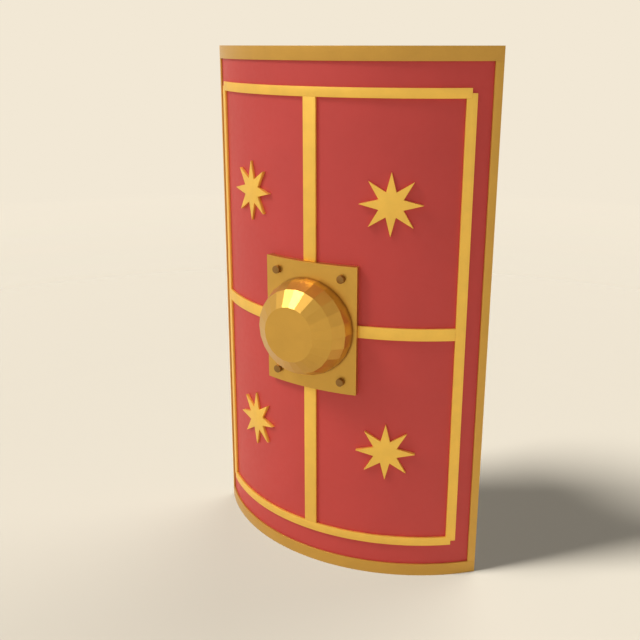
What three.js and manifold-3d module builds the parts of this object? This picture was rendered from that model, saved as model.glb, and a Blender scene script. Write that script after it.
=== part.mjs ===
// Roman scutum: a tall curved shield. A plywood board carries a red painted hide face, a
// brass rim, raised wooden strips and stars, and a sheet-brass boss over the hand hole.
//
// Millimetres, +Z up, the front faces -Y. The origin is on the ground, under the middle of
// the shield's box. The board is a piece of an upright cylinder whose axis stands behind it.
// A place on the board is a radius from that axis and an angle about it: 0 is the middle of
// the front, and positive angles go towards +X.

import * as THREE from "three";
import { mergeVertices } from "three/addons/utils/BufferGeometryUtils.js";
import Module from "manifold-3d";

const wasm = await Module();
wasm.setup();

// ---- Driving dimensions ----

const shieldHeight = 1060;
const middleHeight = shieldHeight / 2;
const halfAngle = THREE.MathUtils.degToRad(48);
const faceRadius = 425.3; // painted face
const gap = 0.3; // between pieces that touch
const arcStep = THREE.MathUtils.degToRad(2); // one facet of a curved piece

const layers = { facing: 1, board: 6 };
const rim = { proud: 4, backFlange: 2, edge: 4, levelWidth: 26, uprightWidth: 16.5 };
const strip = {
  proud: 5,
  borderLevelWidth: 18,
  borderUprightWidth: 20,
  crossUprightWidth: 28,
  crossLevelWidth: 24,
  borderHeight: 449.5, // from the middle height to the middle of a level border strip
  borderAngle: 0.705, // to the middle of an upright border strip
};
const star = { points: 8, tip: 60, notch: 25, proud: 5.2, angle: 0.379, height: 250 };
const plate = { halfWidth: 105.7, halfHeight: 130, proud: 12.9, sheet: 2 };
const dome = {
  sides: 24,
  base: 98,
  shoulder: { radius: 97, rise: 16 },
  brow: { radius: 85.1, rise: 45 },
  cap: { radius: 55, rise: 67.8 },
};
const rivet = { radius: 8, proud: 8, across: 74.5, up: 105 };
const handHole = { radius: 85 };
const grip = {
  halfLength: 120,
  padStart: 88,
  handHalf: 76,
  height: 32,
  depth: 24,
  padDepth: 9, // at the very end
  rounding: 5,
};
const gripNail = { radius: 5, height: 2.5, across: 105 };

// ---- Sizes worked out from those ----

const boardFront = faceRadius - layers.facing - gap;
const boardBack = boardFront - layers.board;
const rimFront = faceRadius + rim.proud;
const rimBack = boardBack - gap - rim.backFlange;
const pocketFront = faceRadius + gap;
const pocketBack = boardBack - gap;
const edgeAngle = rim.edge / rimFront;
const uprightRimAngle = rim.uprightWidth / rimFront;
const stripBack = faceRadius + gap;
const stripFront = faceRadius + strip.proud;
const plateFront = faceRadius + plate.proud;
const plateAngle = plate.halfWidth / plateFront;
const gapAngle = gap / faceRadius;
const openEnd = 1; // how far a cutter runs past the face it opens

const frontmost = plateFront + dome.cap.rise;
const rearmost = rimBack * Math.cos(halfAngle);
const axisSetback = (frontmost + rearmost) / 2;

// ---- Materials ----

const finish = (color, roughness, metalness) =>
  new THREE.MeshStandardMaterial({ color, roughness, metalness });

const redHide = finish(0xb8433a, 0.6, 0);
const boardWood = finish(0x9a6b3f, 0.7, 0);
const gripWood = finish(0x6f4524, 0.6, 0);
const yellowPaint = finish(0xe6b24e, 0.5, 0);
const rimBrass = finish(0xb58a3c, 0.4, 0.8);
const bossBrass = finish(0xbf8f3e, 0.3, 0.9);
const darkBronze = finish(0x6b4a22, 0.4, 0.8);

// ---- Solids ----

// A closed geometry as a solid that can be joined and cut.
function solidOf(geometry) {
  geometry.deleteAttribute("normal");
  geometry.deleteAttribute("uv");
  const welded = mergeVertices(geometry, 1e-3);
  const index = welded.index.array;
  const corners = [];
  for (let i = 0; i < index.length; i += 3) {
    const [a, b, c] = [index[i], index[i + 1], index[i + 2]];
    if (a !== b && b !== c && c !== a) corners.push(a, b, c); // a pole's flat triangles go
  }
  return new wasm.Manifold(new wasm.Mesh({
    numProp: 3,
    vertProperties: welded.attributes.position.array,
    triVerts: new Uint32Array(corners),
  }));
}

function geometryOf(solid) {
  const { vertProperties, triVerts } = solid.getMesh();
  const geometry = new THREE.BufferGeometry();
  geometry.setAttribute("position", new THREE.BufferAttribute(vertProperties, 3));
  geometry.setIndex(new THREE.BufferAttribute(triVerts, 1));
  return geometry;
}

// A curved slab: part of the cylinder's wall, from one radius, angle and height to another.
function slab({ inner, outer, from, to, bottom, top }) {
  const front = -Math.PI / 2; // the plan's direction of angle 0
  const outline = new THREE.Shape();
  outline.absarc(0, 0, outer, front + from, front + to, false);
  outline.absarc(0, 0, inner, front + to, front + from, true);
  const facets = Math.max(2, Math.round((to - from) / arcStep));
  const geometry = new THREE.ExtrudeGeometry(outline, {
    depth: top - bottom,
    bevelEnabled: false,
    curveSegments: Math.ceil(facets / 2), // an arc gets twice this many
  });
  geometry.translate(0, 0, bottom);
  return solidOf(geometry);
}

// A round bar along the front-to-back direction, from one distance before the axis to another.
function roundBar(radius, near, far, x, z, sides) {
  const geometry = new THREE.CylinderGeometry(radius, radius, far - near, sides);
  geometry.translate(x, -(near + far) / 2, z);
  return solidOf(geometry);
}

// Everything nearer to the axis than a radius, to give a piece a back that fits the curve.
function core(radius, bottom, top) {
  const sides = Math.round((2 * Math.PI) / arcStep);
  const geometry = new THREE.CylinderGeometry(radius, radius, top - bottom, sides);
  geometry.rotateX(Math.PI / 2);
  geometry.translate(0, 0, (bottom + top) / 2);
  return solidOf(geometry);
}

// ---- Board and painted face ----

function layer(inner, outer) {
  const reach = halfAngle - edgeAngle - gapAngle;
  const sheet = slab({
    inner,
    outer,
    from: -reach,
    to: reach,
    bottom: rim.edge + gap,
    top: shieldHeight - rim.edge - gap,
  });
  const hole = roundBar(handHole.radius, boardBack * 0.9, rimFront, 0, middleHeight, 48);
  return sheet.subtract(hole);
}

// ---- Rim: four channels that hold the edge of the board ----

function levelRim(side) {
  const low = side > 0 ? shieldHeight - rim.levelWidth : 0;
  const high = low + rim.levelWidth;
  const reach = halfAngle - edgeAngle;
  const channel = slab({
    inner: rimBack,
    outer: rimFront,
    from: -halfAngle,
    to: halfAngle,
    bottom: low,
    top: high,
  });
  const pocket = slab({
    inner: pocketBack,
    outer: pocketFront,
    from: -reach,
    to: reach,
    bottom: side > 0 ? low - openEnd : low + rim.edge,
    top: side > 0 ? high - rim.edge : high + openEnd,
  });
  return channel.subtract(pocket);
}

function uprightRim(side) {
  const outside = side * halfAngle;
  const inside = side * (halfAngle - uprightRimAngle);
  const pocketOutside = side * (halfAngle - edgeAngle);
  const pocketInside = inside - side * (openEnd / rimFront);
  const channel = slab({
    inner: rimBack,
    outer: rimFront,
    from: Math.min(inside, outside),
    to: Math.max(inside, outside),
    bottom: rim.levelWidth + gap,
    top: shieldHeight - rim.levelWidth - gap,
  });
  const pocket = slab({
    inner: pocketBack,
    outer: pocketFront,
    from: Math.min(pocketInside, pocketOutside),
    to: Math.max(pocketInside, pocketOutside),
    bottom: 0,
    top: shieldHeight,
  });
  return channel.subtract(pocket);
}

// ---- Raised strips ----

const stripLayer = { inner: stripBack, outer: stripFront };
const borderHalfHeight = strip.borderLevelWidth / 2;
const borderHalfAngle = strip.borderUprightWidth / 2 / stripFront;

// A level border strip ends on the middle line of the upright ones.
function levelBorder(side, margin = 0) {
  const middle = middleHeight + side * strip.borderHeight;
  const reach = strip.borderAngle + margin / stripFront;
  return slab({
    inner: stripLayer.inner - margin,
    outer: stripLayer.outer + margin,
    from: -reach,
    to: reach,
    bottom: middle - borderHalfHeight - margin,
    top: middle + borderHalfHeight + margin,
  });
}

// An upright border strip ends on the middle line of the level ones and is halved round them.
function uprightBorder(side) {
  const middle = side * strip.borderAngle;
  const whole = slab({
    ...stripLayer,
    from: middle - borderHalfAngle,
    to: middle + borderHalfAngle,
    bottom: middleHeight - strip.borderHeight,
    top: middleHeight + strip.borderHeight,
  });
  return whole.subtract(levelBorder(-1, gap)).subtract(levelBorder(1, gap));
}

function uprightCross(side) {
  const halfWidth = strip.crossUprightWidth / 2 / stripFront;
  const near = plate.halfHeight + gap;
  const far = strip.borderHeight - borderHalfHeight - gap;
  return slab({
    ...stripLayer,
    from: -halfWidth,
    to: halfWidth,
    bottom: side > 0 ? middleHeight + near : middleHeight - far,
    top: side > 0 ? middleHeight + far : middleHeight - near,
  });
}

function levelCross(side) {
  const near = side * (plateAngle + gapAngle);
  const far = side * (strip.borderAngle - borderHalfAngle - gapAngle);
  return slab({
    ...stripLayer,
    from: Math.min(near, far),
    to: Math.max(near, far),
    bottom: middleHeight - strip.crossLevelWidth / 2,
    top: middleHeight + strip.crossLevelWidth / 2,
  });
}

// ---- Stars: flat in front, hollowed behind to sit on the curve ----

function starSolid(across, up) {
  const outline = new THREE.Shape();
  for (let i = 0; i < 2 * star.points; i += 1) {
    const reach = i % 2 === 0 ? star.tip : star.notch;
    const turn = (i * Math.PI) / star.points;
    outline[i === 0 ? "moveTo" : "lineTo"](reach * Math.sin(turn), reach * Math.cos(turn));
  }
  outline.closePath();
  const front = faceRadius + star.proud;
  const back = Math.sqrt(faceRadius ** 2 - star.tip ** 2) - openEnd;
  const middle = middleHeight + up * star.height;
  const geometry = new THREE.ExtrudeGeometry(outline, { depth: front - back, bevelEnabled: false });
  geometry.rotateX(Math.PI / 2);
  geometry.translate(0, -back, middle);
  geometry.rotateZ(across * star.angle);
  return solidOf(geometry).subtract(core(stripBack, middle - star.tip - 1, middle + star.tip + 1));
}

// ---- Boss: one sheet, a curved plate with turned-down edges and a faceted dome ----

// Heights in the dome's profile are counted forwards from the plate's crest.
function domeSolid(profile) {
  const points = profile.map(([radius, rise]) => new THREE.Vector2(radius, rise));
  const geometry = new THREE.LatheGeometry(points, dome.sides);
  geometry.rotateX(Math.PI);
  geometry.translate(0, -plateFront, middleHeight);
  return solidOf(geometry);
}

function bossSolid() {
  const wall = plate.sheet;
  const tray = slab({
    inner: pocketFront,
    outer: plateFront,
    from: -plateAngle,
    to: plateAngle,
    bottom: middleHeight - plate.halfHeight,
    top: middleHeight + plate.halfHeight,
  });
  const wallAngle = wall / plateFront;
  const trayHollow = slab({
    inner: pocketFront - openEnd,
    outer: plateFront - wall,
    from: -plateAngle + wallAngle,
    to: plateAngle - wallAngle,
    bottom: middleHeight - plate.halfHeight + wall,
    top: middleHeight + plate.halfHeight - wall,
  });
  const root = -plate.proud; // the dome's wall runs back until the curved plate meets it
  const { shoulder, brow, cap } = dome;
  const outside = [
    [0, root],
    [dome.base, root],
    [dome.base, 0],
    [shoulder.radius, shoulder.rise],
    [brow.radius, brow.rise],
    [cap.radius, cap.rise],
    [0, cap.rise],
  ];
  const inside = [
    [0, root - openEnd],
    [dome.base - wall, root - openEnd],
    [dome.base - wall, 0],
    [shoulder.radius - wall, shoulder.rise],
    [brow.radius - wall, brow.rise - wall / 2],
    [cap.radius - wall / 2, cap.rise - wall],
    [0, cap.rise - wall],
  ];
  const bottom = middleHeight - dome.base - 1;
  const top = middleHeight + dome.base + 1;
  const shell = domeSolid(outside).subtract(core(plateFront - wall / 2, bottom, top));
  return tray.add(shell).subtract(trayHollow).subtract(domeSolid(inside));
}

function rivetSolid(across, up) {
  const x = across * rivet.across;
  const z = middleHeight + up * rivet.up;
  const seat = Math.sqrt(plateFront ** 2 - x ** 2);
  const bar = roundBar(rivet.radius, seat - 5, seat + rivet.proud, x, z, 20);
  return bar.subtract(core(plateFront + gap, z - 2 * rivet.radius, z + 2 * rivet.radius));
}

// ---- Grip: a level bar across the hand hole, its ends shaped to the back of the board ----

const gripSeat = pocketBack; // radius that the end pads are shaped to
const gripFront = Math.sqrt(gripSeat ** 2 - grip.padStart ** 2);
const padBack = Math.sqrt(gripSeat ** 2 - grip.halfLength ** 2) - grip.padDepth;
const handBack = gripFront - grip.depth;

function gripSolid() {
  const front = -Math.PI / 2;
  const start = Math.asin(grip.padStart / gripSeat);
  const end = Math.asin(grip.halfLength / gripSeat);
  const outline = new THREE.Shape();
  outline.absarc(0, 0, gripSeat, front - end, front - start, false);
  outline.absarc(0, 0, gripSeat, front + start, front + end, false);
  outline.lineTo(grip.halfLength, -padBack);
  outline.lineTo(grip.padStart, -padBack);
  outline.lineTo(grip.handHalf, -handBack);
  outline.lineTo(-grip.handHalf, -handBack);
  outline.lineTo(-grip.padStart, -padBack);
  outline.lineTo(-grip.halfLength, -padBack);
  outline.closePath();
  const geometry = new THREE.ExtrudeGeometry(outline, {
    depth: grip.height - 2 * grip.rounding,
    bevelThickness: grip.rounding,
    bevelSize: grip.rounding,
    bevelOffset: -grip.rounding,
    bevelSegments: 3,
    curveSegments: 3,
  });
  geometry.translate(0, 0, middleHeight - grip.height / 2 + grip.rounding);
  return solidOf(geometry);
}

function gripNailSolid(side) {
  const seat = padBack - gap;
  return roundBar(gripNail.radius, seat - gripNail.height, seat, side * gripNail.across, middleHeight, 16);
}

// ---- The shield ----

const curveAxis = new THREE.Group();
curveAxis.position.y = axisSetback;

function place(name, solid, material) {
  const mesh = new THREE.Mesh(geometryOf(solid), material.clone());
  mesh.name = name;
  curveAxis.add(mesh);
}

const upDown = [["upper", 1], ["lower", -1]];
const leftRight = [["left", -1], ["right", 1]];

place("board", layer(boardBack, boardFront), boardWood);
place("facing", layer(boardFront + gap, faceRadius), redHide);

for (const [name, side] of [["top", 1], ["bottom", -1]]) {
  place(`rim_${name}`, levelRim(side), rimBrass);
  place(`border_${name}`, levelBorder(side), yellowPaint);
}
for (const [name, side] of leftRight) {
  place(`rim_${name}`, uprightRim(side), rimBrass);
  place(`border_${name}`, uprightBorder(side), yellowPaint);
  place(`cross_${name}`, levelCross(side), yellowPaint);
  place(`grip_nail_${name}`, gripNailSolid(side), darkBronze);
}
for (const [row, up] of upDown) {
  place(`cross_${row}`, uprightCross(up), yellowPaint);
  for (const [column, across] of leftRight) {
    place(`star_${row}_${column}`, starSolid(across, up), yellowPaint);
    place(`rivet_${row}_${column}`, rivetSolid(across, up), darkBronze);
  }
}
place("boss", bossSolid(), bossBrass);
place("grip", gripSolid(), gripWood);

const shield = new THREE.Group();
shield.name = "roman_scutum";
shield.add(curveAxis);

export default shield;
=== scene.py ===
# Roman scutum: the looks of a tall curved shield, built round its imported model.
# Metres, +Z up, the front faces -Y. A place on the board is a radius from the upright axis
# that stands behind it and an angle about that axis: 0 is the middle of the front.

import math

import bmesh
import bpy
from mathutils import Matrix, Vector


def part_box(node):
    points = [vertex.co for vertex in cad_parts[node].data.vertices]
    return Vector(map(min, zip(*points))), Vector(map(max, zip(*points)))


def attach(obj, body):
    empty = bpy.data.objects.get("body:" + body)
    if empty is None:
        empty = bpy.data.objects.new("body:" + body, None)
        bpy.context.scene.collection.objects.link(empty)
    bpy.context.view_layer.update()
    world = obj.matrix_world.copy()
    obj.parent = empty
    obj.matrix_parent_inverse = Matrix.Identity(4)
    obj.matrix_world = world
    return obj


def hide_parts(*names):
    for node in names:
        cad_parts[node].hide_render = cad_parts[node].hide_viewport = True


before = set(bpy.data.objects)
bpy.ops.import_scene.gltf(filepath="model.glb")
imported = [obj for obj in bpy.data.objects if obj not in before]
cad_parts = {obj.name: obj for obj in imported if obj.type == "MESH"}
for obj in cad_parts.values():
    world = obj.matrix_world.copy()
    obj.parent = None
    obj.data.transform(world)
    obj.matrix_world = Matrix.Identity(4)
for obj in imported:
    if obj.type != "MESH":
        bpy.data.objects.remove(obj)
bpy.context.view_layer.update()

# Camera

view = {
    "place": (0.9065, -1.4321, 1.0614),
    "pitch": 17.40,  # degrees down
    "turn": 32.33,  # degrees to the left of straight at the shield
    "lens": 49.42,
}
bpy.ops.object.camera_add(
    location=view["place"],
    rotation=(math.radians(90 - view["pitch"]), 0, math.radians(view["turn"])),
)
camera = bpy.context.object
camera.name = "camera"
camera.data.lens = view["lens"]
camera.data.sensor_width = 36
bpy.context.scene.camera = camera
print("camera set")

# The curve that every piece follows

curve = {
    "face": 0.4253,  # radius of the painted face
    "rimProud": 0.004,
    "stripProud": 0.005,
    "plateProud": 0.0129,
    "edge": 0.004,  # from the shield's edge to the board's, inside the rim
    "step": math.radians(1),
    "gap": 0.0003,  # between pieces that touch
    "overcut": 0.001,  # how far a cutter runs past what it cuts
    "overcutAngle": 0.003,
}
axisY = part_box("facing")[0].y + curve["face"]
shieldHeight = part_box("rim_top")[1].z
middleHeight = shieldHeight / 2
rimFrontRadius = curve["face"] + curve["rimProud"]
halfAngle = math.asin(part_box("rim_top")[1].x / rimFrontRadius)


# Working with pieces

hair = 0.0001  # a distance too small to matter
endFace = 0.9  # a face that looks along X by more than this share is an end face


def deselectAll():
    if bpy.context.mode != "OBJECT":
        bpy.ops.object.mode_set(mode="OBJECT")
    bpy.ops.object.select_all(action="DESELECT")


def pick(piece):
    deselectAll()
    piece.select_set(True)
    bpy.context.view_layer.objects.active = piece


def settle(piece):
    pick(piece)
    bpy.ops.object.transform_apply(location=True, rotation=True, scale=True)


def openEdit(piece, kind="FACE"):
    pick(piece)
    bpy.ops.object.mode_set(mode="EDIT")
    bpy.ops.mesh.select_mode(type=kind)
    bpy.ops.mesh.select_all(action="DESELECT")


def closeEdit():
    bpy.ops.object.mode_set(mode="OBJECT")


def markFaces(piece, test):
    mesh = bmesh.from_edit_mesh(piece.data)
    for face in mesh.faces:
        face.select_set(test(face.calc_center_median(), face.normal))
    bmesh.update_edit_mesh(piece.data)


def markEdges(piece, test):
    mesh = bmesh.from_edit_mesh(piece.data)
    for edge in mesh.edges:
        start, end = edge.verts
        edge.select_set(test(start.co, end.co))
    bmesh.update_edit_mesh(piece.data)


def markPoints(piece, test):
    mesh = bmesh.from_edit_mesh(piece.data)
    for point in mesh.verts:
        point.select_set(test(point.co))
    mesh.select_flush_mode()
    bmesh.update_edit_mesh(piece.data)


def cleanMesh(piece):
    openEdit(piece)
    bpy.ops.mesh.select_all(action="SELECT")
    bpy.ops.mesh.remove_doubles(threshold=1e-6)
    bpy.ops.mesh.normals_make_consistent(inside=False)
    closeEdit()


def onCurve(radius, angle, height):
    return Vector((radius * math.sin(angle), axisY - radius * math.cos(angle), height))


def curvedBar(name, inner, outer, start, end, low, high):
    deselectAll()
    bpy.ops.mesh.primitive_plane_add(
        size=1,
        location=onCurve((inner + outer) / 2, start, (low + high) / 2),
        rotation=(0, math.pi / 2, start),
    )
    piece = bpy.context.object
    piece.name = name
    piece.scale = (high - low, outer - inner, 1)
    settle(piece)
    openEdit(piece)
    bpy.ops.mesh.select_all(action="SELECT")
    bpy.ops.mesh.spin(
        steps=max(1, round((end - start) / curve["step"])),
        angle=end - start,
        center=(0, axisY, 0),
        axis=(0, 0, -1),
    )
    closeEdit()
    cleanMesh(piece)
    return piece


def roundBar(name, radius, near, far, x, z, sides):
    deselectAll()
    bpy.ops.mesh.primitive_cylinder_add(
        vertices=sides,
        radius=radius,
        depth=far - near,
        location=(x, axisY - (near + far) / 2, z),
        rotation=(math.pi / 2, 0, 0),
    )
    piece = bpy.context.object
    piece.name = name
    settle(piece)
    return piece


def core(radius, low, high):
    deselectAll()
    bpy.ops.mesh.primitive_cylinder_add(
        vertices=round(2 * math.pi / curve["step"]),
        radius=radius,
        depth=high - low,
        location=(0, axisY, (low + high) / 2),
    )
    piece = bpy.context.object
    settle(piece)
    return piece


def combine(piece, other, how):
    pick(piece)
    joint = piece.modifiers.new("joint", "BOOLEAN")
    joint.operation = how
    joint.solver = "EXACT"
    joint.object = other
    bpy.ops.object.modifier_apply(modifier=joint.name)
    bpy.data.objects.remove(other)
    cleanMesh(piece)


def softenEdges(piece, width, segments, angle=30):
    pick(piece)
    soft = piece.modifiers.new("soft", "BEVEL")
    soft.width = width
    soft.segments = segments
    soft.limit_method = "ANGLE"
    soft.angle_limit = math.radians(angle)
    soft.use_clamp_overlap = True
    bpy.ops.object.modifier_apply(modifier=soft.name)


def smooth(piece, angle):
    pick(piece)
    bpy.ops.object.shade_smooth_by_angle(angle=math.radians(angle))


def copyOf(piece, name):
    pick(piece)
    bpy.ops.object.duplicate(linked=False)
    twin = bpy.context.object
    twin.name = name
    return twin


def raisedCopy(piece, name, rise):
    twin = copyOf(piece, name)
    twin.location.z = rise
    settle(twin)
    return twin


def mirrored(piece, name):
    twin = copyOf(piece, name)
    twin.scale = (-1, 1, 1)
    settle(twin)
    cleanMesh(twin)
    return twin


def upsideDown(piece, name):
    twin = copyOf(piece, name)
    twin.scale = (1, 1, -1)
    twin.location.z = shieldHeight
    settle(twin)
    cleanMesh(twin)
    return twin


def inFourCorners(upperLeft, name, drop):
    upperLeft.name = name + "_upper_left"
    upperRight = mirrored(upperLeft, name + "_upper_right")
    return {
        "upper_left": upperLeft,
        "upper_right": upperRight,
        "lower_left": raisedCopy(upperLeft, name + "_lower_left", -drop),
        "lower_right": raisedCopy(upperRight, name + "_lower_right", -drop),
    }


def dress(piece, finish, node):
    piece.data.materials.clear()
    piece.data.materials.append(finish)
    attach(piece, "root")
    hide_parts(node)


# Working with materials

def newFinish(name, **values):
    finish = bpy.data.materials.new(name)
    finish.use_nodes = True
    shader = finish.node_tree.nodes["Principled BSDF"]
    for socket, value in values.items():
        shader.inputs[socket.replace("_", " ")].default_value = value
    return finish, shader


def shade(colour, share):
    return (colour[0] * share, colour[1] * share, colour[2] * share, 1)


noiseMiddle = (0.3, 0.7)  # nearly all of a noise lies between these


class Nodes:
    def __init__(self, finish):
        self.tree = finish.node_tree
        self.place = self.add("ShaderNodeTexCoord").outputs["Object"]

    def add(self, kind, settings=None, **links):
        node = self.tree.nodes.new(kind)
        for name, value in (settings or {}).items():
            if hasattr(node, name):
                setattr(node, name, value)
            else:
                node.inputs[name].default_value = value
        for name, source in links.items():
            self.tree.links.new(source, node.inputs[name.replace("_", " ")])
        return node

    def stretched(self, scale):
        return self.add("ShaderNodeMapping", {"Scale": scale}, Vector=self.place).outputs["Vector"]

    def noise(self, size, detail, rough, place=None):
        return self.add(
            "ShaderNodeTexNoise",
            {"Scale": 1 / size, "Detail": detail, "Roughness": rough},
            Vector=place or self.place,
        ).outputs["Fac"]

    def cells(self, size):
        return self.add(
            "ShaderNodeTexVoronoi",
            {"feature": "SMOOTH_F1", "Scale": 1 / size},
            Vector=self.place,
        ).outputs["Distance"]

    def span(self, value, fromLow, fromHigh, toLow, toHigh):
        return self.add(
            "ShaderNodeMapRange",
            {"From Min": fromLow, "From Max": fromHigh, "To Min": toLow, "To Max": toHigh},
            Value=value,
        ).outputs["Result"]

    def spread(self, noise, low, high):
        return self.span(noise, *noiseMiddle, low, high)

    def blend(self, factor, first, second):
        node = self.tree.nodes.new("ShaderNodeMix")
        node.data_type = "RGBA"
        for socket, value in ((0, factor), (6, first), (7, second)):
            if isinstance(value, bpy.types.NodeSocket):
                self.tree.links.new(value, node.inputs[socket])
            else:
                node.inputs[socket].default_value = value
        return node.outputs[2]

    def mottled(self, noise, colour, swing):
        return self.blend(
            self.spread(noise, 0, 1), shade(colour, swing[0]), shade(colour, swing[1])
        )

    def multiply(self, *values):
        product = values[0]
        for value in values[1:]:
            node = self.tree.nodes.new("ShaderNodeMath")
            node.operation = "MULTIPLY"
            self.tree.links.new(product, node.inputs[0])
            self.tree.links.new(value, node.inputs[1])
            product = node.outputs[0]
        return product

    def bump(self, height, depth):
        node = self.add("ShaderNodeBump", {"Distance": depth, "Strength": 1.0}, Height=height)
        return node.outputs["Normal"]

    def to(self, source, socket):
        self.tree.links.new(source, socket)


# Painted shade in the corner where the dome's wall meets the plate
creaseShade = {
    "wallStart": 0.0962,
    "wallEnd": 0.0966,
    "wall": 0.098,
    "plateEnd": 0.1012,
    "plate": curve["face"] + curve["plateProud"],
    "rise": 0.009,
    "depth": 0.6,
    "colour": (0.24, 0.085, 0.016, 1),
}

redPaint = {
    "colour": (0.62, 0.054, 0.045),
    "mottleSize": 0.12,
    "mottle": (0.965, 1.035),
    "sheenSize": 0.012,
    "roughness": (0.51, 0.6),
    "grainSize": 0.0022,
    "grainDepth": 0.00006,
}


def makeRedHide():
    finish, shader = newFinish("red_hide_paint")
    nodes = Nodes(finish)
    mottle = nodes.noise(redPaint["mottleSize"], 4, 0.55)
    tone = nodes.mottled(mottle, redPaint["colour"], redPaint["mottle"])
    nodes.to(tone, shader.inputs["Base Color"])
    sheen = nodes.noise(redPaint["sheenSize"], 3, 0.6)
    nodes.to(nodes.spread(sheen, *redPaint["roughness"]), shader.inputs["Roughness"])
    grain = nodes.cells(redPaint["grainSize"])
    nodes.to(nodes.bump(grain, redPaint["grainDepth"]), shader.inputs["Normal"])
    return finish


giltPaint = {
    "colour": (0.97, 0.59, 0.097),
    "metal": 0.5,
    "mottleSize": 0.03,
    "mottle": (0.96, 1.04),
    "roughness": (0.42, 0.5),
    "brushSize": 0.0015,
    "brushDepth": 0.00005,
}


def makeGilt():
    finish, shader = newFinish("golden_paint", Metallic=giltPaint["metal"])
    nodes = Nodes(finish)
    mottle = nodes.noise(giltPaint["mottleSize"], 4, 0.55)
    tone = nodes.mottled(mottle, giltPaint["colour"], giltPaint["mottle"])
    nodes.to(tone, shader.inputs["Base Color"])
    nodes.to(nodes.spread(mottle, *giltPaint["roughness"]), shader.inputs["Roughness"])
    brushing = nodes.noise(giltPaint["brushSize"], 3, 0.6)
    nodes.to(nodes.bump(brushing, giltPaint["brushDepth"]), shader.inputs["Normal"])
    return finish


def distanceFrom(nodes, centre, plane):
    centred = nodes.add("ShaderNodeVectorMath", {"operation": "SUBTRACT"}, Vector=nodes.place)
    centred.inputs[1].default_value = centre
    flat = nodes.add(
        "ShaderNodeVectorMath", {"operation": "MULTIPLY"}, Vector=centred.outputs["Vector"]
    )
    flat.inputs[1].default_value = plane
    return nodes.add(
        "ShaderNodeVectorMath", {"operation": "LENGTH"}, Vector=flat.outputs["Vector"]
    ).outputs["Value"]


# Where the painted shade falls: the lower part of the dome's wall and the plate close beside it,
# fading out across the plate
def domeCreaseShade(nodes):
    fromDome = distanceFrom(nodes, (0, 0, middleHeight), (1, 0, 1))
    fromAxis = distanceFrom(nodes, (0, axisY, 0), (1, 1, 0))
    onWall = nodes.span(fromDome, creaseShade["wallStart"], creaseShade["wallEnd"], 0, 1)
    onPlate = nodes.span(fromDome, creaseShade["wall"], creaseShade["plateEnd"], creaseShade["depth"], 0)
    low = nodes.span(fromAxis, creaseShade["plate"], creaseShade["plate"] + creaseShade["rise"], 1, 0)
    return nodes.multiply(onWall, onPlate, low)


brass = {
    "mottleSize": 0.05,
    "mottle": (0.96, 1.04),
    "lineSize": 0.002,
    "roughnessSwing": 0.04,
}


def makeBrass(name, colour, roughness, stretch, depth, metal=1.0, shadedCrease=False):
    finish, shader = newFinish(name, Metallic=metal)
    nodes = Nodes(finish)
    mottle = nodes.noise(brass["mottleSize"], 4, 0.6)
    tone = nodes.mottled(mottle, colour, brass["mottle"])
    # The dome's corner is darkened with painted shade in the brass colour
    if shadedCrease:
        tone = nodes.blend(domeCreaseShade(nodes), tone, creaseShade["colour"])
    nodes.to(tone, shader.inputs["Base Color"])
    lines = nodes.noise(brass["lineSize"], 4, 0.6, nodes.stretched(stretch))
    swing = brass["roughnessSwing"]
    nodes.to(nodes.spread(lines, roughness - swing, roughness + swing), shader.inputs["Roughness"])
    nodes.to(nodes.bump(lines, depth), shader.inputs["Normal"])
    return finish


wood = {
    "grainSize": 0.006,
    "grainDepth": 0.00025,
    "bandSize": 0.03,
    "bandShare": 0.35,
    "bandShade": 0.8,
    "roughnessSwing": 0.06,
}


def makeWood(name, light, dark, roughness, stretch):
    finish, shader = newFinish(name)
    nodes = Nodes(finish)
    grain = nodes.noise(wood["grainSize"], 5, 0.65, nodes.stretched(stretch))
    bands = nodes.noise(wood["bandSize"], 3, 0.5, nodes.stretched(stretch))
    tone = nodes.blend(nodes.spread(grain, 0, 1), shade(light, 1), shade(dark, 1))
    banding = nodes.spread(bands, 0, wood["bandShare"])
    tone = nodes.blend(banding, tone, shade(dark, wood["bandShade"]))
    nodes.to(tone, shader.inputs["Base Color"])
    swing = wood["roughnessSwing"]
    nodes.to(nodes.spread(grain, roughness - swing, roughness + swing), shader.inputs["Roughness"])
    nodes.to(nodes.bump(grain, wood["grainDepth"]), shader.inputs["Normal"])
    return finish


redHide = makeRedHide()
giltWood = makeGilt()
rimBrass = {"roughness": 0.36, "depth": 0.00003, "metal": 0.3}
levelBrass = makeBrass(
    "rim_brass_level", colour=(0.65, 0.345, 0.05), stretch=(0.05, 0.05, 1), **rimBrass
)
# The upright bands' brass is the level bands' brass painted about 8% lighter: painted light, standing
# in for light the side bands lack
uprightBrass = makeBrass(
    "rim_brass_upright", colour=(0.7, 0.378, 0.054), stretch=(1, 1, 0.05), **rimBrass
)
bossBrass = makeBrass(
    "boss_brass",
    colour=(0.655, 0.368, 0.068),
    roughness=0.33,
    stretch=(1, 1, 1),
    depth=0.00002,
    metal=0.8,
    shadedCrease=True,
)
rivetBronze = makeBrass(
    "rivet_bronze",
    colour=(0.31, 0.165, 0.05),
    roughness=0.4,
    stretch=(1, 1, 1),
    depth=0.00008,
)
lathWood = makeWood(
    "board_wood",
    light=(0.52, 0.34, 0.19),
    dark=(0.36, 0.21, 0.1),
    roughness=0.65,
    stretch=(0.08, 0.08, 1),
)
gripWood = makeWood(
    "grip_wood",
    light=(0.3, 0.15, 0.065),
    dark=(0.17, 0.075, 0.03),
    roughness=0.5,
    stretch=(0.08, 1, 1),
)
print("finishes made")

# Painted face: a sheet of hide over the board, open behind the boss

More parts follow.
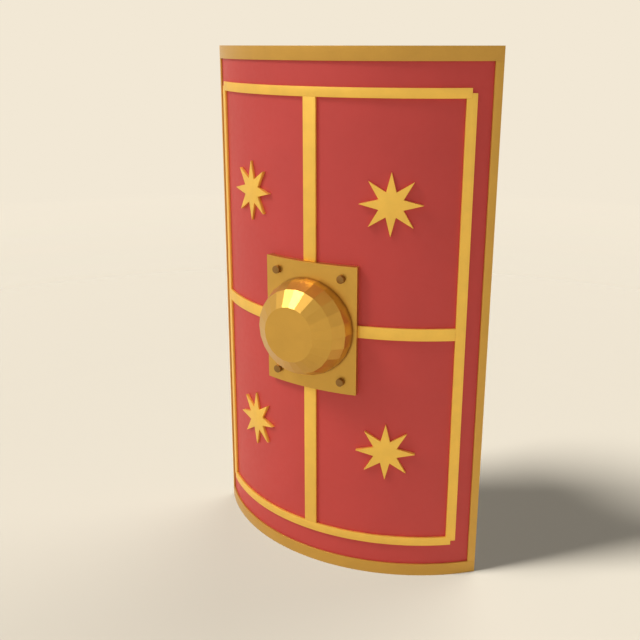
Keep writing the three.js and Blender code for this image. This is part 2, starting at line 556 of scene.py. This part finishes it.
hide = {
    "thickness": 0.001,
    "hole": 0.085,
    "holeSides": 128,
    "cutFrom": 0.37,
    "cutTo": 0.44,
}
reach = halfAngle - curve["edge"] / rimFrontRadius - curve["gap"] / curve["face"]
faceLow = curve["edge"] + curve["gap"]


def cutHandHole(piece):
    cutter = roundBar(
        "cutter", hide["hole"], hide["cutFrom"], hide["cutTo"], 0, middleHeight, hide["holeSides"]
    )
    combine(piece, cutter, "DIFFERENCE")


paintedFace = curvedBar(
    "painted_face",
    curve["face"] - hide["thickness"],
    curve["face"],
    -reach,
    reach,
    faceLow,
    shieldHeight - faceLow,
)
cutHandHole(paintedFace)
smooth(paintedFace, 20)
dress(paintedFace, redHide, "facing")
print("painted face made")

# Board: glued plies in front and a ply of level laths behind

board = {
    "front": 0.4240,
    "back": 0.4180,
    "lath": 0.0019,
    "glueLine": 0.0001,
    "laths": 14,
    "lathGap": 0.0004,
    "lathEdge": 0.0006,
}
frontPlies = curvedBar(
    "front_plies",
    board["back"] + board["lath"] + board["glueLine"],
    board["front"],
    -reach,
    reach,
    faceLow,
    shieldHeight - faceLow,
)
lathPitch = (shieldHeight - 2 * faceLow + board["lathGap"]) / board["laths"]
firstLath = curvedBar(
    "lath",
    board["back"],
    board["back"] + board["lath"],
    -reach,
    reach,
    faceLow,
    faceLow + lathPitch - board["lathGap"],
)
openEdit(firstLath, "EDGE")
markEdges(
    firstLath,
    lambda start, end: abs(start.z - end.z) < hair
    and max(math.hypot(p.x, p.y - axisY) for p in (start, end)) < board["back"] + hair,
)
bpy.ops.mesh.bevel(offset=board["lathEdge"], offset_type="OFFSET", segments=2, affect="EDGES")
closeEdit()
laths = [firstLath]
for count in range(1, board["laths"]):
    laths.append(raisedCopy(firstLath, "lath", count * lathPitch))
deselectAll()
for part in (frontPlies, *laths):
    part.select_set(True)
bpy.context.view_layer.objects.active = frontPlies
bpy.ops.object.join()
plywoodBoard = frontPlies
plywoodBoard.name = "plywood_board"
cutHandHole(plywoodBoard)
smooth(plywoodBoard, 25)
dress(plywoodBoard, lathWood, "board")
print("board made")

# Rim: brass channels folded over the board's edge

rim = {
    "front": rimFrontRadius,
    "back": 0.4157,
    "pocketBack": 0.4177,
    "levelWidth": 0.026,
    "uprightWidth": 0.0165,
    "joint": 0.00005,
    "softEdge": 0.0003,
}


def makeLevelRim(name):
    channel = curvedBar(
        name, rim["back"], rim["front"], -halfAngle, halfAngle, 0, rim["levelWidth"]
    )
    edgeAngle = curve["edge"] / rim["front"]
    pocket = curvedBar(
        "pocket",
        rim["pocketBack"],
        curve["face"] + curve["gap"],
        edgeAngle - halfAngle,
        halfAngle - edgeAngle,
        curve["edge"],
        rim["levelWidth"] + curve["overcut"],
    )
    combine(channel, pocket, "DIFFERENCE")
    softenEdges(channel, rim["softEdge"], 3)
    return channel


def makeUprightRim(name):
    inside = halfAngle - rim["uprightWidth"] / rim["front"]
    low = rim["levelWidth"] + rim["joint"]
    channel = curvedBar(
        name, rim["back"], rim["front"], inside, halfAngle, low, shieldHeight - low
    )
    pocket = curvedBar(
        "pocket",
        rim["pocketBack"],
        curve["face"] + curve["gap"],
        inside - curve["overcutAngle"],
        halfAngle - curve["edge"] / rim["front"],
        0,
        shieldHeight,
    )
    combine(channel, pocket, "DIFFERENCE")
    softenEdges(channel, rim["softEdge"], 3)
    return channel


rimBottom = makeLevelRim("rim_band_bottom")
rimTop = upsideDown(rimBottom, "rim_band_top")
rimRight = makeUprightRim("rim_band_right")
rimLeft = mirrored(rimRight, "rim_band_left")
for piece, finish, node in (
    (rimBottom, levelBrass, "rim_bottom"),
    (rimTop, levelBrass, "rim_top"),
    (rimRight, uprightBrass, "rim_right"),
    (rimLeft, uprightBrass, "rim_left"),
):
    smooth(piece, 40)
    dress(piece, finish, node)
print("rim made")

# Raised strips: a border and a cross

strip = {
    "back": curve["face"] + curve["gap"],
    "front": curve["face"] + curve["stripProud"],
    "borderLevelWidth": 0.018,
    "borderUprightWidth": 0.020,
    "crossUprightWidth": 0.028,
    "crossLevelWidth": 0.024,
    "borderHeight": 0.4495,
    "borderAngle": 0.705,
    "joint": 0.00005,
    "softEdge": 0.00025,
}
borderHalfHeight = strip["borderLevelWidth"] / 2
borderHalfAngle = strip["borderUprightWidth"] / 2 / strip["front"]
plateSize = {
    "halfWidth": 0.1057,
    "halfHeight": 0.130,
    "front": curve["face"] + curve["plateProud"],
}
plateAngle = plateSize["halfWidth"] / plateSize["front"]


def levelBorder(name, side, margin=0.0):
    middle = middleHeight + side * strip["borderHeight"]
    ends = strip["borderAngle"] + margin / strip["front"]
    return curvedBar(
        name,
        strip["back"] - margin,
        strip["front"] + margin,
        -ends,
        ends,
        middle - borderHalfHeight - margin,
        middle + borderHalfHeight + margin,
    )


def finishStrip(piece, node):
    softenEdges(piece, strip["softEdge"], 2)
    smooth(piece, 40)
    dress(piece, giltWood, node)


borderTop = levelBorder("border_strip_top", 1)
borderBottom = raisedCopy(borderTop, "border_strip_bottom", -2 * strip["borderHeight"])
finishStrip(borderTop, "border_top")
finishStrip(borderBottom, "border_bottom")

borderRight = curvedBar(
    "border_strip_right",
    strip["back"],
    strip["front"],
    strip["borderAngle"] - borderHalfAngle,
    strip["borderAngle"] + borderHalfAngle,
    middleHeight - strip["borderHeight"],
    middleHeight + strip["borderHeight"],
)
for side in (1, -1):
    combine(borderRight, levelBorder("cutter", side, strip["joint"]), "DIFFERENCE")
borderLeft = mirrored(borderRight, "border_strip_left")
finishStrip(borderRight, "border_right")
finishStrip(borderLeft, "border_left")

crossHalfAngle = strip["crossUprightWidth"] / 2 / strip["front"]
crossUpper = curvedBar(
    "cross_strip_upper",
    strip["back"],
    strip["front"],
    -crossHalfAngle,
    crossHalfAngle,
    middleHeight + plateSize["halfHeight"] + strip["joint"],
    middleHeight + strip["borderHeight"] - borderHalfHeight - strip["joint"],
)
crossLower = upsideDown(crossUpper, "cross_strip_lower")
finishStrip(crossUpper, "cross_upper")
finishStrip(crossLower, "cross_lower")

jointAngle = strip["joint"] / strip["front"]
crossRight = curvedBar(
    "cross_strip_right",
    strip["back"],
    strip["front"],
    plateAngle + jointAngle,
    strip["borderAngle"] - borderHalfAngle - jointAngle,
    middleHeight - strip["crossLevelWidth"] / 2,
    middleHeight + strip["crossLevelWidth"] / 2,
)
crossLeft = mirrored(crossRight, "cross_strip_left")
finishStrip(crossRight, "cross_right")
finishStrip(crossLeft, "cross_left")
print("strips made")

# Stars: eight points, flat in front and hollowed behind to sit on the curve

star = {
    "points": 8,
    "tip": 0.060,
    "notch": 0.025,
    "proud": 0.0052,
    "angle": 0.379,
    "height": 0.250,
    "softEdge": 0.0003,
}


def makeStar():
    frontRadius = curve["face"] + star["proud"]
    tipBack = math.sqrt(curve["face"] ** 2 - star["tip"] ** 2)
    depth = frontRadius - tipBack + curve["overcut"]
    turn = -star["angle"]
    height = middleHeight + star["height"]
    centre = onCurve(frontRadius, turn, height)
    deselectAll()
    bpy.ops.mesh.primitive_circle_add(
        vertices=2 * star["points"],
        radius=star["tip"],
        fill_type="NGON",
        location=centre,
        rotation=(math.pi / 2, 0, turn),
    )
    piece = bpy.context.object
    settle(piece)
    openEdit(piece, "VERT")
    notchTurn = math.pi / star["points"]

    def isNotch(point):
        away = point - centre
        sideways = away.x * math.cos(turn) + away.y * math.sin(turn)
        steps = round(math.atan2(sideways, away.z) / notchTurn)
        return steps % 2 == 1

    markPoints(piece, isNotch)
    share = star["notch"] / star["tip"]
    bpy.ops.transform.resize(value=(share, share, share), center_override=centre)
    bpy.ops.mesh.select_all(action="SELECT")
    inwards = onCurve(-depth, turn, 0) - Vector((0, axisY, 0))
    bpy.ops.mesh.extrude_region_move(TRANSFORM_OT_translate={"value": inwards})
    closeEdit()
    cleanMesh(piece)
    tip = star["tip"] + curve["overcut"]
    combine(piece, core(strip["back"], height - tip, height + tip), "DIFFERENCE")
    softenEdges(piece, star["softEdge"], 2)
    cleanMesh(piece)  # joins what the bevel left loose at the sharp tips
    return piece


for corner, piece in inFourCorners(makeStar(), "star_point", 2 * star["height"]).items():
    smooth(piece, 30)
    dress(piece, giltWood, "star_" + corner)
print("stars made")

# Boss: one brass sheet, a curved plate with turned-down edges and a faceted dome

dome = {
    "sides": 24,
    "base": 0.098,
    "shoulder": (0.0970, 0.0160),
    "brow": (0.0851, 0.0450),
    "cap": (0.0550, 0.0678),
    "sheet": 0.002,
}


def makeDome(name, rings, root):
    deselectAll()
    bpy.ops.mesh.primitive_circle_add(
        vertices=dome["sides"],
        radius=rings[0][0],
        fill_type="NGON",
        location=(0, axisY - plateSize["front"] + root, middleHeight),
        rotation=(math.pi / 2, 0, 0),
    )
    piece = bpy.context.object
    piece.name = name
    settle(piece)
    openEdit(piece)
    bpy.ops.mesh.select_all(action="SELECT")
    rise = -root
    radius = rings[0][0]
    for nextRadius, nextRise in rings:
        bpy.ops.mesh.extrude_region_move(
            TRANSFORM_OT_translate={"value": (0, rise - nextRise, 0)}
        )
        share = nextRadius / radius
        bpy.ops.transform.resize(
            value=(share, 1, share),
            center_override=(0, axisY - plateSize["front"] - nextRise, middleHeight),
        )
        rise = nextRise
        radius = nextRadius
    closeEdit()
    cleanMesh(piece)
    return piece


def makeBoss():
    low = middleHeight - plateSize["halfHeight"]
    high = middleHeight + plateSize["halfHeight"]
    sheet = dome["sheet"]
    back = strip["back"]
    tray = curvedBar(
        "boss_shell", back, plateSize["front"], -plateAngle, plateAngle, low, high
    )
    sheetAngle = sheet / plateSize["front"]
    hollow = curvedBar(
        "hollow",
        back - curve["overcut"],
        plateSize["front"] - sheet,
        sheetAngle - plateAngle,
        plateAngle - sheetAngle,
        low + sheet,
        high - sheet,
    )
    outside = makeDome(
        "outside",
        [(dome["base"], 0), dome["shoulder"], dome["brow"], dome["cap"]],
        curve["plateProud"],
    )
    room = dome["base"] + curve["overcut"]
    under = core(plateSize["front"] - sheet / 2, middleHeight - room, middleHeight + room)
    combine(outside, under, "DIFFERENCE")
    inside = makeDome(
        "inside",
        [
            (dome["base"] - sheet, 0),
            (dome["shoulder"][0] - sheet, dome["shoulder"][1]),
            (dome["brow"][0] - sheet, dome["brow"][1] - sheet / 2),
            (dome["cap"][0] - sheet / 2, dome["cap"][1] - sheet),
        ],
        curve["plateProud"] + curve["overcut"],
    )
    combine(tray, outside, "UNION")
    combine(tray, hollow, "DIFFERENCE")
    combine(tray, inside, "DIFFERENCE")
    return tray


bossShell = makeBoss()
smooth(bossShell, 3)
dress(bossShell, bossBrass, "boss")
print("boss made")

# Rivets at the plate's corners

rivet = {
    "radius": 0.008,
    "proud": 0.008,
    "sunk": 0.005,
    "across": 0.0745,
    "up": 0.105,
    "sides": 32,
    "softEdge": 0.0008,
}


def makeRivet():
    height = middleHeight + rivet["up"]
    seat = math.sqrt(plateSize["front"] ** 2 - rivet["across"] ** 2)
    piece = roundBar(
        "rivet_head",
        rivet["radius"],
        seat - rivet["sunk"],
        seat + rivet["proud"],
        -rivet["across"],
        height,
        rivet["sides"],
    )
    room = 2 * rivet["radius"]
    under = core(plateSize["front"] + curve["gap"], height - room, height + room)
    combine(piece, under, "DIFFERENCE")
    softenEdges(piece, rivet["softEdge"], 2, 50)
    return piece


for corner, piece in inFourCorners(makeRivet(), "rivet_head", 2 * rivet["up"]).items():
    smooth(piece, 35)
    dress(piece, rivetBronze, "rivet_" + corner)
print("rivets made")

# Grip: a level bar across the hand hole, its pads shaped to the board's back

grip = {
    "halfLength": 0.120,
    "padStart": 0.088,
    "handHalf": 0.076,
    "height": 0.032,
    "depth": 0.024,
    "padDepth": 0.009,
    "softEdge": 0.004,
    "cutDepth": 0.02,
    "cutAngle": 0.4,
}
gripSeat = rim["pocketBack"]
gripFront = math.sqrt(gripSeat**2 - grip["padStart"] ** 2)
padBack = math.sqrt(gripSeat**2 - grip["halfLength"] ** 2) - grip["padDepth"]
handBack = gripFront - grip["depth"]


def makeGrip():
    deselectAll()
    bpy.ops.mesh.primitive_cube_add(
        size=1,
        location=(0, axisY - (gripFront + handBack) / 2, middleHeight),
    )
    piece = bpy.context.object
    piece.name = "grip_bar"
    piece.scale = (2 * grip["handHalf"], gripFront - handBack, grip["height"])
    settle(piece)
    for side in (1, -1):
        openEdit(piece)
        markFaces(piece, lambda place, normal: normal.x * side > endFace)
        run = side * (grip["padStart"] - grip["handHalf"])
        bpy.ops.mesh.extrude_region_move(TRANSFORM_OT_translate={"value": (run, 0, 0)})
        bpy.ops.mesh.select_mode(type="VERT")
        markPoints(
            piece,
            lambda point: point.x * side > grip["padStart"] - hair
            and point.y > axisY - handBack - hair,
        )
        bpy.ops.transform.translate(value=(0, handBack - padBack, 0))
        bpy.ops.mesh.select_mode(type="FACE")
        markFaces(
            piece,
            lambda place, normal: normal.x * side > endFace
            and place.x * side > grip["padStart"] - hair,
        )
        run = side * (grip["halfLength"] - grip["padStart"])
        bpy.ops.mesh.extrude_region_move(TRANSFORM_OT_translate={"value": (run, 0, 0)})
        closeEdit()
    cleanMesh(piece)
    boardCutter = curvedBar(
        "cutter",
        gripSeat,
        gripSeat + grip["cutDepth"],
        -grip["cutAngle"],
        grip["cutAngle"],
        middleHeight - grip["height"],
        middleHeight + grip["height"],
    )
    combine(piece, boardCutter, "DIFFERENCE")
    softenEdges(piece, grip["softEdge"], 4, 60)
    smooth(piece, 40)
    return piece


gripBar = makeGrip()
dress(gripBar, gripWood, "grip")

gripNail = {
    "radius": 0.005,
    "height": 0.0025,
    "across": 0.105,
    "sides": 24,
    "softEdge": 0.0012,
}
nailSeat = padBack - curve["gap"]
nailLeft = roundBar(
    "grip_nail_head_left",
    gripNail["radius"],
    nailSeat - gripNail["height"],
    nailSeat,
    -gripNail["across"],
    middleHeight,
    gripNail["sides"],
)
softenEdges(nailLeft, gripNail["softEdge"], 3, 50)
nailRight = mirrored(nailLeft, "grip_nail_head_right")
for side, piece in (("left", nailLeft), ("right", nailRight)):
    smooth(piece, 35)
    dress(piece, rivetBronze, "grip_nail_" + side)
print("grip made")

# Studio: a pale floor that fades into a pale background, and soft suns, some for the floor
# alone and some for the shield alone

studio = {
    "background": (0.888, 0.806, 0.665, 1),
    "floor": (0.2, 0.1818, 0.1487, 1),
    "floorSize": 40,
    "fadeStart": 1.3,
    "fadeEnd": 5.0,
    "floorRoughness": 0.9,
    "ambient": 0.02,
    "sunDistance": 6,
}

# What the brass mirrors grows darker as a ray points higher
overhead = {"From Min": 0.15, "From Max": 0.55, "To Min": 1, "To Max": 0.7}

# Azimuth, elevation and spread are in degrees, and the soft ones leave no glint
floorSuns = {
    "key_on_floor": {"azimuth": 223, "elevation": 47.5, "spread": 15, "strength": 4.5},
    "back_on_floor": {"azimuth": 85, "elevation": 14, "spread": 80, "strength": 3.15},
}
shieldSuns = {
    "key_on_shield": {"azimuth": 223, "elevation": 48, "spread": 15, "strength": 0.38},
    "key_glint": {"azimuth": 228, "elevation": 46, "spread": 50, "strength": 0.25, "diffuse": False},
    "front_soft": {"azimuth": 270, "elevation": 10, "spread": 150, "strength": 0.41, "glossy": False},
    "left_soft": {"azimuth": 190, "elevation": 20, "spread": 120, "strength": 0.2, "glossy": False},
    "rear_soft": {"azimuth": 90, "elevation": 20, "spread": 150, "strength": 0.4, "glossy": False},
}


def makeFloor():
    deselectAll()
    bpy.ops.mesh.primitive_plane_add(size=studio["floorSize"])
    floor = bpy.context.object
    floor.name = "floor"
    finish, shader = newFinish(
        "pale_floor",
        Base_Color=studio["floor"],
        Roughness=studio["floorRoughness"],
        Specular_IOR_Level=0,
    )
    floor.data.materials.append(finish)
    nodes = Nodes(finish)
    away = nodes.add("ShaderNodeVectorMath", {"operation": "LENGTH"}, Vector=nodes.place)
    fade = nodes.span(away.outputs["Value"], studio["fadeStart"], studio["fadeEnd"], 0, 1)
    clear = nodes.add("ShaderNodeBsdfTransparent")
    mixed = nodes.add("ShaderNodeMixShader")
    nodes.to(fade, mixed.inputs[0])
    nodes.to(shader.outputs[0], mixed.inputs[1])
    nodes.to(clear.outputs[0], mixed.inputs[2])
    nodes.to(mixed.outputs[0], nodes.tree.nodes["Material Output"].inputs["Surface"])
    return floor


def setBackground():
    world = bpy.data.worlds.new("studio")
    bpy.context.scene.world = world
    world.use_nodes = True
    tree = world.node_tree
    shown = tree.nodes["Background"]
    dim = tree.nodes.new("ShaderNodeBackground")
    glossed = tree.nodes.new("ShaderNodeBackground")
    for node, strength in ((shown, 1), (dim, studio["ambient"]), (glossed, 1)):
        node.inputs["Color"].default_value = studio["background"]
        node.inputs["Strength"].default_value = strength
    way = tree.nodes.new("ShaderNodeTexCoord")
    parts = tree.nodes.new("ShaderNodeSeparateXYZ")
    tree.links.new(way.outputs["Generated"], parts.inputs[0])
    upwards = tree.nodes.new("ShaderNodeMapRange")
    for socket, value in overhead.items():
        upwards.inputs[socket].default_value = value
    tree.links.new(parts.outputs["Z"], upwards.inputs["Value"])
    tree.links.new(upwards.outputs["Result"], glossed.inputs["Strength"])
    rays = tree.nodes.new("ShaderNodeLightPath")
    seen = shown.outputs[0]
    for ray, other in (("Is Glossy Ray", glossed), ("Is Diffuse Ray", dim)):
        mixed = tree.nodes.new("ShaderNodeMixShader")
        tree.links.new(rays.outputs[ray], mixed.inputs[0])
        tree.links.new(seen, mixed.inputs[1])
        tree.links.new(other.outputs[0], mixed.inputs[2])
        seen = mixed.outputs[0]
    tree.links.new(seen, tree.nodes["World Output"].inputs["Surface"])


def addSun(name, lit, azimuth, elevation, spread, strength, glossy=True, diffuse=True):
    deselectAll()
    around = math.radians(azimuth)
    up = math.radians(elevation)
    towards = Vector(
        (math.cos(around) * math.cos(up), math.sin(around) * math.cos(up), math.sin(up))
    )
    bpy.ops.object.light_add(
        type="SUN",
        location=towards * studio["sunDistance"],
        rotation=towards.to_track_quat("Z", "Y").to_euler(),
    )
    light = bpy.context.object
    light.name = name
    light.data.energy = strength * math.pi
    light.data.angle = math.radians(spread)
    light.light_linking.receiver_collection = lit
    light.visible_glossy = glossy
    light.visible_diffuse = diffuse


def litSet(name, pieces):
    group = bpy.data.collections.new(name)
    for piece in pieces:
        group.objects.link(piece)
    return group


def visiblePieces():
    pieces = [piece for piece in bpy.context.scene.objects if piece.type == "MESH"]
    return [piece for piece in pieces if not piece.hide_render]


onShield = litSet("lit_shield", visiblePieces())
onFloor = litSet("lit_floor", [makeFloor()])
setBackground()
for name, sun in floorSuns.items():
    addSun(name, onFloor, **sun)
for name, sun in shieldSuns.items():
    addSun(name, onShield, **sun)
bpy.context.scene.view_settings.view_transform = "Standard"
print("studio set")
